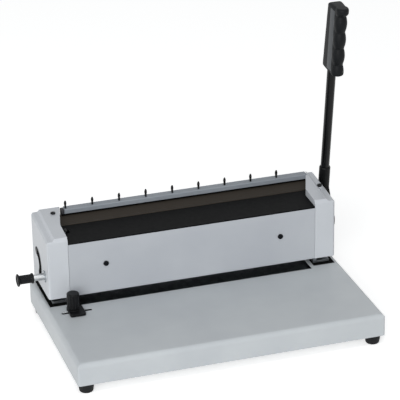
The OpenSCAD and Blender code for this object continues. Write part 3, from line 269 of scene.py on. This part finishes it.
# Trough and chip tray: folded sheet steel, sprayed with semi-gloss black enamel. They lie in the
# shade under the head, where only their front edges catch some light.
def black_enamel(name, colour, roughness, shine=0.12, metallic=0.0,
                 dust_mm=4.17, peel_mm=1.43, peel_depth_mm=0.01):
    """Sprayed black enamel on steel: nearly smooth, with a gloss that wanders a little."""
    material, tree, shader, place = new_material(name)
    shader.inputs["Base Color"].default_value = linear(colour)
    shader.inputs["Specular IOR Level"].default_value = shine
    shader.inputs["Metallic"].default_value = metallic
    dust = add(tree, "TexNoise", {"Scale": 1000 / dust_mm, "Detail": 4.0}, Vector=place)
    gloss = add(tree, "MapRange", {"To Min": roughness - 0.05, "To Max": roughness + 0.12},
                Value=dust.outputs["Fac"])
    tree.links.new(gloss.outputs["Result"], shader.inputs["Roughness"])
    peel = add(tree, "TexNoise", {"Scale": 1000 / peel_mm, "Detail": 1.0}, Vector=place)
    bump = add(tree, "Bump", {"Strength": 0.4, "Distance": peel_depth_mm / 1000},
               Height=peel.outputs["Fac"])
    tree.links.new(bump.outputs["Normal"], shader.inputs["Normal"])
    return material


trough_black = black_enamel("black enamel on sheet steel", "#101214", 0.32)
finished("closing_tray", trough_black, 0.2)
finished("chip_tray", trough_black, 0.2)

# Side frames, cross ties and the bars that move in them: bright zinc plate, cut and drilled. Bolts
# and screws are chemically blackened, which leaves them a dark metallic glint.
for part_name in ("left_frame", "right_frame", "front_tie", "spring_tie", "rear_tie", "punch_bar",
                  "pin_retainer", "size_slider", "closing_anvil"):
    finished(part_name, zinc, 0.25)
blackened = black_enamel("blackened screw steel", "#1B1D20", 0.36, metallic=0.6)
for part_name in ("frame_bolts", "frame_screws", "rail_screws", "back_screws", "panel_screws",
                  "cover_screws"):
    finished(part_name, blackened, 0.1)


# Punching tools and drive: ground and oiled tool steel, whose fine marks along the row spread the
# highlight into a streak, and turned bronze bushes for the shaft.
def ground_steel(name, colour, mark_mm, roughness, metallic=1.0, shine=0.5, mark_depth_mm=0.01):
    """Ground steel or bronze: marks along the row, 50 times as long as wide. Real ones are about
    0.05 mm wide and are drawn coarser, so that they show."""
    material, tree, shader, place = new_material(name)
    shader.inputs["Base Color"].default_value = linear(colour)
    shader.inputs["Metallic"].default_value = metallic
    shader.inputs["Specular IOR Level"].default_value = shine
    along = add(tree, "Mapping", {"Scale": (1 / 50, 1, 1)}, Vector=place)
    marks = add(tree, "TexNoise", {"Scale": 1000 / mark_mm, "Detail": 3.0},
                Vector=along.outputs["Vector"])
    gloss = add(tree, "MapRange", {"To Min": roughness - 0.08, "To Max": roughness + 0.12},
                Value=marks.outputs["Fac"])
    tree.links.new(gloss.outputs["Result"], shader.inputs["Roughness"])
    bump = add(tree, "Bump", {"Strength": 0.3, "Distance": mark_depth_mm / 1000},
               Height=marks.outputs["Fac"])
    tree.links.new(bump.outputs["Normal"], shader.inputs["Normal"])
    return material


tool_steel = ground_steel("ground tool steel", "#9A9C9E", 0.8, 0.3)
bronze = ground_steel("turned bearing bronze", "#B08A4A", 0.5, 0.32)
for part_name in ("die_plate", "pin_guide", "throat_stop", "punch_pins", "punch_racks",
                  "closing_bar", "closing_racks", "main_shaft"):
    finished(part_name, tool_steel, 0.12)
finished("shaft_bushes", bronze, 0.15)

# Return springs: two tension springs, wound from bright wire, between the spring tie and the
# closing bar. Their upper hooks stay on the tie, and their lower hooks go down with the bar.
wire_r = 0.0006
coil_r = 0.0034
coil_turns = 17
steps_per_turn = 16
straight_end = 0.0055
wire_past_end = 0.002
wire_to_bend = 0.003
spring_inset = coil_r + wire_r
spring_low, spring_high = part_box("return_springs")
spring_y = (spring_low.y + spring_high.y) / 2
coil_foot = spring_low.z + straight_end
coil_top = spring_high.z - straight_end
coil_steps = coil_turns * steps_per_turn
for side, spring_x in (("left", spring_low.x + spring_inset),
                       ("right", spring_high.x - spring_inset)):
    route = bpy.data.curves.new(side + "_return_spring", "CURVE")
    route.dimensions = "3D"
    route.bevel_depth = wire_r
    route.bevel_resolution = 2
    route.use_fill_caps = True
    points = [(spring_x, spring_y, spring_low.z - wire_past_end),
              (spring_x, spring_y, spring_low.z + wire_to_bend)]
    for k in range(coil_steps + 1):
        a = 2 * math.pi * k / steps_per_turn
        points.append((spring_x + coil_r * math.cos(a), spring_y + coil_r * math.sin(a),
                       coil_foot + (coil_top - coil_foot) * k / coil_steps))
    points += [(spring_x, spring_y, spring_high.z - wire_to_bend),
               (spring_x, spring_y, spring_high.z + wire_past_end)]
    line = route.splines.new("POLY")
    line.points.add(len(points) - 1)
    for point, place in zip(line.points, points):
        point.co = (*place, 1)
    spring = bpy.data.objects.new(side + "_return_spring", route)
    bpy.context.collection.objects.link(spring)
    bpy.ops.object.select_all(action="DESELECT")
    spring.select_set(True)
    bpy.context.view_layer.objects.active = spring
    bpy.ops.object.convert(target="MESH")
    spring = bpy.context.object
    spring.data.materials.clear()
    spring.data.materials.append(tool_steel)
    bpy.ops.object.shade_smooth()
    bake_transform(spring)
    if side == "left":
        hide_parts("return_springs")

# Paper table and rear plate: the table before the throat is dull black enamelled steel, and behind
# the throat stands a plate of dark blued steel, a brownish black with faint rolling marks.
table_black = black_enamel("black enamel on the paper table", "#090A0B", 0.5, shine=0.05)
blued = ground_steel("dark blued steel", "#2E2923", 2.2, 0.42, metallic=0.2, shine=0.2)
finished("paper_table", table_black, 0.25)
finished("rear_plate", blued, 0.2)

# Rail and hooks: a folded channel with a darker grey coat closes the head's back. Black enamelled
# leaf hooks stand up through its slots to hold the wire, one at every fourth hole of the row, and
# each has a thick rounded tip.
rail_grey = powder_coat("powder coated steel, dark grey", "#8A9097", "#82888F", 0.46)
finished("top_rail", rail_grey, 0.25)
hook_black = black_enamel("black enamelled hooks", "#0B0C0D", 0.3)
finished("wire_hooks", hook_black, 0.15)
hole_count = 34
hole_pitch = 0.0254 / 3
holes_per_hook = 4
hook_lean = math.radians(12)
tip_half = Vector((0.0016, 0.0023, 0.0043))
tip_slimming = 0.4
tip_above_hook = 0.0009
tray_low, tray_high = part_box("chip_tray")
hook_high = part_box("wire_hooks")[1]
first_hook_x = (tray_low.x + tray_high.x) / 2 - hole_pitch * (hole_count - 1) / 2
for k in range(math.ceil(hole_count / holes_per_hook)):
    bpy.ops.mesh.primitive_uv_sphere_add(segments=20, ring_count=14, radius=1)
    tip = bpy.context.object
    tip.name = "hook_tip_%d" % (k + 1)
    for point in tip.data.vertices:
        slim = 1 - tip_slimming * max(point.co.z, 0) ** 2
        point.co = Vector((point.co.x * slim, point.co.y * slim, point.co.z)) * tip_half
    tip.location = (first_hook_x + k * holes_per_hook * hole_pitch, hook_high.y - tip_half.y,
                    hook_high.z + tip_above_hook - tip_half.z)
    tip.rotation_euler.x = hook_lean
    bpy.ops.object.transform_apply(location=True, rotation=True, scale=True)
    bpy.ops.object.shade_smooth()
    tip.data.materials.append(hook_black)
    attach(tip, "housing")

# Head covers and panels: folded and welded steel in a medium grey coat. The end covers carry a
# lighter copy of that coat, which paints the light falling on them. The end covers have a low strip
# along the side and a raised panel, whose edges show as two soft lines.
end_grey_lit = powder_coat("powder coated steel, end covers", "#C4C8CD", "#BEC2C7", 0.34)
cover_grey = powder_coat("powder coated steel, medium grey", "#B4B8BD", "#AEB2B8", 0.34)
for cover in ("left_cover", "right_cover"):
    finished(cover, end_grey_lit, 0.45, edge_angle=12)
for panel in ("front_panel", "back_panel"):
    finished(panel, cover_grey, 0.3)

# Slot edging: a dull black moulded strip with a flange, pressed into the curved slot in the left
# cover from outside. The stop disc's stud runs inside it and clears it.
shaft_low, shaft_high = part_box("main_shaft")
shaft_y = (shaft_low.y + shaft_high.y) / 2
shaft_z = (shaft_low.z + shaft_high.z) / 2
slot_middle_r = 0.015
slot_from = math.radians(84)
slot_to = math.radians(222)
arc_steps = 32
end_steps = 12
# The strip's cross-section: millimetres inwards from the cover's face, half the width across the
# slot, and how far the round ends are drawn in.
strip_corners = ((3.0, 3.7, 0), (3.0, 3.5, 0), (-0.3, 3.5, 0), (-0.5, 3.9, 0), (-0.5, 4.9, 0.9),
                 (-0.1, 5.3, 1.2), (0, 3.7, 0))


def arc(x, middle_y, middle_z, r, angles):
    """Points on an arc that lies parallel to the cover's face."""
    return [(x, middle_y + r * math.cos(a), middle_z + r * math.sin(a)) for a in angles]


def slot_ring(x, half_width, drawn_in):
    """Points round the slot, at a distance from its curved middle line."""
    first = slot_from + drawn_in / slot_middle_r
    last = slot_to - drawn_in / slot_middle_r
    sweep = [first + (last - first) * k / arc_steps for k in range(arc_steps + 1)]
    half_turn = [math.pi * k / end_steps for k in range(1, end_steps)]
    first_end, last_end = arc(x, shaft_y, shaft_z, slot_middle_r, (first, last))
    return (arc(x, shaft_y, shaft_z, slot_middle_r + half_width, sweep)
            + arc(*last_end, half_width, [last + b for b in half_turn])
            + arc(x, shaft_y, shaft_z, slot_middle_r - half_width, reversed(sweep))
            + arc(*first_end, half_width, [first + math.pi + b for b in half_turn]))


cover_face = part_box("left_cover")[0].x
rings = [slot_ring(cover_face + inward / 1000, half_width / 1000, drawn_in / 1000)
         for inward, half_width, drawn_in in strip_corners]
per_ring = len(rings[0])
faces = []
for r in range(len(rings)):
    here, following = r * per_ring, (r + 1) % len(rings) * per_ring
    for k in range(per_ring):
        beside = (k + 1) % per_ring
        faces.append((here + k, here + beside, following + beside, following + k))
strip = bpy.data.meshes.new("slot_edging")
strip.from_pydata([point for ring in rings for point in ring], [], faces)
edging = bpy.data.objects.new("slot_edging", strip)
bpy.context.collection.objects.link(edging)
bpy.ops.object.select_all(action="DESELECT")
edging.select_set(True)
bpy.context.view_layer.objects.active = edging
bpy.ops.object.mode_set(mode="EDIT")
bpy.ops.mesh.select_all(action="SELECT")
bpy.ops.mesh.normals_make_consistent(inside=False)
bpy.ops.object.mode_set(mode="OBJECT")
bpy.ops.object.shade_smooth_by_angle(angle=math.radians(40))
edging.data.materials.append(moulded("moulded black edging", "#0A0B0C", 0.5, 0.6, 0.01))
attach(edging, "housing")


# Rail plug, lip shadow and shade strips: a plastic plug closes the gap between the rail's left end
# and the cover, in a dark grey that paints the gap's shade. A black strip under the rail's lip is a
# painted shadow, and black sheets on the base under the head's ends, to either side of the chip
# tray, are painted shade.
def flat_piece(name, low, high, edge_mm, material):
    """A flat piece of the housing between two corners, with rounded edges."""
    low, high = Vector(low), Vector(high)
    bpy.ops.mesh.primitive_cube_add(size=1, location=(low + high) / 2)
    piece = bpy.context.object
    piece.name = name
    piece.scale = high - low
    bpy.ops.object.transform_apply(location=True, rotation=True, scale=True)
    bpy.ops.object.mode_set(mode="EDIT")
    bpy.ops.mesh.select_all(action="SELECT")
    bpy.ops.mesh.bevel(offset=edge_mm / 1000, segments=3)
    bpy.ops.object.mode_set(mode="OBJECT")
    bpy.ops.object.shade_smooth_by_angle(angle=math.radians(40))
    piece.data.materials.append(material)
    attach(piece, "housing")


rail_low, rail_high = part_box("top_rail")
cover_low, cover_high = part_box("left_cover")
plug_play = 0.0001
plug_inset = 0.0004
plug_foot = 0.010
plug_below_top = 0.0012
# The plug is a real plastic piece, and its dark grey is painted shade of the gap it fills.
plug_gap_shade_grey = moulded("dark plug painting the rail end gap's shade", "#38383B", 0.5, 0.6, 0.01)
flat_piece("rail_plug",
           (cover_high.x + plug_play, rail_low.y + plug_inset, rail_low.z + plug_foot),
           (rail_low.x - plug_play, rail_high.y - plug_inset, rail_high.z - plug_below_top),
           0.8, plug_gap_shade_grey)

# A black strip under the rail's lip paints the shadow that the lip casts there.
lip_shadow_play = 0.0002
lip_shadow_before_lip = 0.0013
lip_shadow_into_lip = 0.0001
lip_shadow_below = 0.0004
lip_shadow_above = 0.0011
lip_foot_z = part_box("rear_plate")[1].z
lip_shadow_black = moulded("black strip painting the shadow under the rail's lip", "#070708", 0.8, 0.5, 0.05, shine=0.05)
flat_piece("painted_lip_shadow",
           (cover_high.x + lip_shadow_play, rail_low.y - lip_shadow_before_lip, lip_foot_z - lip_shadow_below),
           (rail_high.x, rail_low.y + lip_shadow_into_lip, lip_foot_z + lip_shadow_above),
           0.4, lip_shadow_black)

strip_inset = 0.0004
strip_before_head = 0.0012
strip_thick = 0.0003
base_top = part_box("base_shell")[1].z
# Black sheets on the base under the head's ends: painted shade.
painted_shade_black = black_enamel("black sheet painting the shade under the head", "#060707", 0.8, shine=0.05)
for side, x0, x1 in (("left", cover_low.x + strip_inset, tray_low.x),
                     ("right", tray_high.x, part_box("right_cover")[1].x - strip_inset)):
    flat_piece(side + "_painted_shade_strip",
               (x0, cover_low.y - strip_before_head, base_top),
               (x1, cover_high.y - strip_inset, base_top + strip_thick),
               0.1, painted_shade_black)

# Edge guide: the bright nickel-plated screw turns in a flanged zinc-plated bush in the left cover,
# a knob of fine-grained black plastic turns it, and the enamelled nut with its finger moves on it.
bright = plated_steel("bright nickel plate", "#D9DBDC", spangle_mm=20.0)
knob_black = moulded("moulded black plastic", "#101113", 0.38, 0.6, 0.012)
finished("guide_screw", bright, 0.3)
finished("knob_bush", zinc, 0.2)
finished("side_knob", knob_black, 0.2)
finished("edge_stop", trough_black, 0.3)

# Size knob: a fluted post on a foot that slides on the base, moulded in the side knob's black
# plastic. Through a slot in the base it moves the slider with the wedges, in the trough.
finished("size_knob", knob_black, 0.35)

# Lever: a satin crank clamped on the shaft's end under a domed cap of blackened steel, and a rod
# with gloss black enamel in it. The stop disc on the shaft's other end limits the pull.
gloss_black = black_enamel("gloss black enamel", "#060708", 0.2, shine=0.22)
finished("crank", black_enamel("black enamel on the crank", "#0B0C0D", 0.4), 0.5)
finished("lever_rod", gloss_black, 0.2)
finished("hub_cap", blackened, 0.15)
finished("stop_disc", trough_black, 0.15)

# Grip: moulded in black plastic round the rod. Its back is flat-sided and deeper at the bottom,
# finger lobes run down its front under a head that reaches forward, and a smoother bevelled band
# lies between them, drawn in a lighter grey that is a painted sheen. Apart from the rod's foot, its
# sizes are in millimetres.
rod_foot = Vector((0.2, 0.1018, 0.142))
rod_lean = math.radians(8.6)
foot_on_rod = 140.5
grip_long = 90.5
middle_y = -6.0
half_width = 8.7
back_depth = 12.2
back_taper = 5.0
taper_from = 6.0
diagonal = 0.707
corner_cut = 1.3
band_sides = ((0.990, -0.139, 9.3), (0.944, -0.330, 11.9))
front_depth = 21.5
corner_sharpness = 18
crease_sharpness = 28
lobe_first = 14.0
head_from_top = 11.1
whole_lobes = 3
lobe_pitch = (grip_long - lobe_first - head_from_top) / whole_lobes
lobe_half_width, lobe_half_depth = 5.7, 5.8
lobe_wider, lobe_deeper = 2.1, 2.3
lobe_forward = 17.5
head_forward = 2.6
head_rise = 5.0


def grip_reach(angle, up):
    """How far the skin lies from the grip's middle line, at a height above the grip's foot. Flat
    sides make the back, and an ellipse that swells at each lobe makes the front."""
    dx, dy = math.cos(angle), math.sin(angle)
    back = back_depth - back_taper * max(0.0, up - taper_from) / (grip_long - taper_from)
    back_corner = diagonal * (half_width + back) - corner_cut
    sides = ((1, 0, half_width), (0, 1, back), (diagonal, diagonal, back_corner), *band_sides,
             (0, -1, front_depth))
    inverse = 0.0
    for nx, ny, limit in sides:
        towards = nx * abs(dx) + ny * dy
        if towards > 0:
            inverse += (towards / (limit - ny * middle_y)) ** corner_sharpness
    flat = inverse ** (-1 / corner_sharpness)
    across = (up - lobe_first) / lobe_pitch
    full = 1 - (2 * (across - math.floor(across)) - 1) ** 2
    ahead = 0.0
    if across > whole_lobes:
        full = 1 - (1 - min(1.0, (across - whole_lobes) * lobe_pitch / head_rise)) ** 2
        ahead = head_forward * full
    half_w = lobe_half_width + lobe_wider * full
    half_d = lobe_half_depth + lobe_deeper * full
    gap = lobe_forward + ahead + middle_y
    a = (dx / half_w) ** 2 + (dy / half_d) ** 2
    b = 2 * gap * dy / half_d ** 2
    c = (gap / half_d) ** 2 - 1
    inside = b * b - 4 * a * c
    lobe = (-b + math.sqrt(inside)) / (2 * a) if inside > 0 and b < 0 else 0.0
    return (flat ** crease_sharpness + max(lobe, 0.0) ** crease_sharpness) ** (1 / crease_sharpness)


# Each ring of the grip's skin: its height, its share of the full reach, and how far it is drawn in.
foot_round = 1.4
head_round = 3.4
round_steps = 8
straight_steps = 114
straight = grip_long - foot_round - head_round
quarter = [math.pi / 2 * k / round_steps for k in range(round_steps + 1)]
skin_rings = [(0.0, 0.0, 0.0)]
for a in quarter:
    skin_rings.append((foot_round * (1 - math.cos(a)), 1.0, foot_round * (1 - math.sin(a))))
for k in range(1, straight_steps):
    skin_rings.append((foot_round + straight * k / straight_steps, 1.0, 0.0))
for a in reversed(quarter):
    skin_rings.append((grip_long - head_round * (1 - math.cos(a)), 1.0,
                       head_round * (1 - math.sin(a))))
skin_rings.append((grip_long, 0.0, 0.0))
last_ring = len(skin_rings) - 1

level_about_y = -19.5
level_power = 4
bpy.ops.mesh.primitive_uv_sphere_add(segments=96, ring_count=last_ring, radius=1)
grip = bpy.context.object
grip.name = "moulded_grip"
for point in grip.data.vertices:
    ring = round((1 - math.acos(max(-1.0, min(1.0, point.co.z))) / math.pi) * last_ring)
    up, share, drawn_in = skin_rings[ring]
    angle = math.atan2(point.co.y, point.co.x)
    reach = (grip_reach(angle, up) - drawn_in) * share
    x, y = reach * math.cos(angle), middle_y + reach * math.sin(angle)
    up -= (y - level_about_y) * math.tan(rod_lean) * (up / grip_long) ** level_power
    along = foot_on_rod + up
    point.co = rod_foot + Vector((x, y * math.cos(rod_lean) - along * math.sin(rod_lean),
                                  y * math.sin(rod_lean) + along * math.cos(rod_lean))) / 1000
bpy.ops.object.shade_smooth_by_angle(angle=math.radians(50))

band_half_width = 6.6
band_front, band_back = -14.0, -3.5
band_foot, band_head = 3, 84
grip.data.materials.append(moulded("dull moulded grip", "#131517", 0.5, 0.8, 0.02, 0.12))
# The band is smoother, and its lighter grey is a painted sheen.
grip.data.materials.append(moulded("grip band painted lighter for its sheen", "#383C40", 0.3, 1.6, 0.004, 0.3))
for face in grip.data.polygons:
    local = 1000 * (face.center - rod_foot)
    up = local.z * math.cos(rod_lean) - local.y * math.sin(rod_lean) - foot_on_rod
    depth = local.y * math.cos(rod_lean) + local.z * math.sin(rod_lean)
    if (abs(local.x) > band_half_width and band_front < depth < band_back
            and band_foot < up < band_head):
        face.material_index = 1
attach(grip, "lever")
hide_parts("lever_grip")
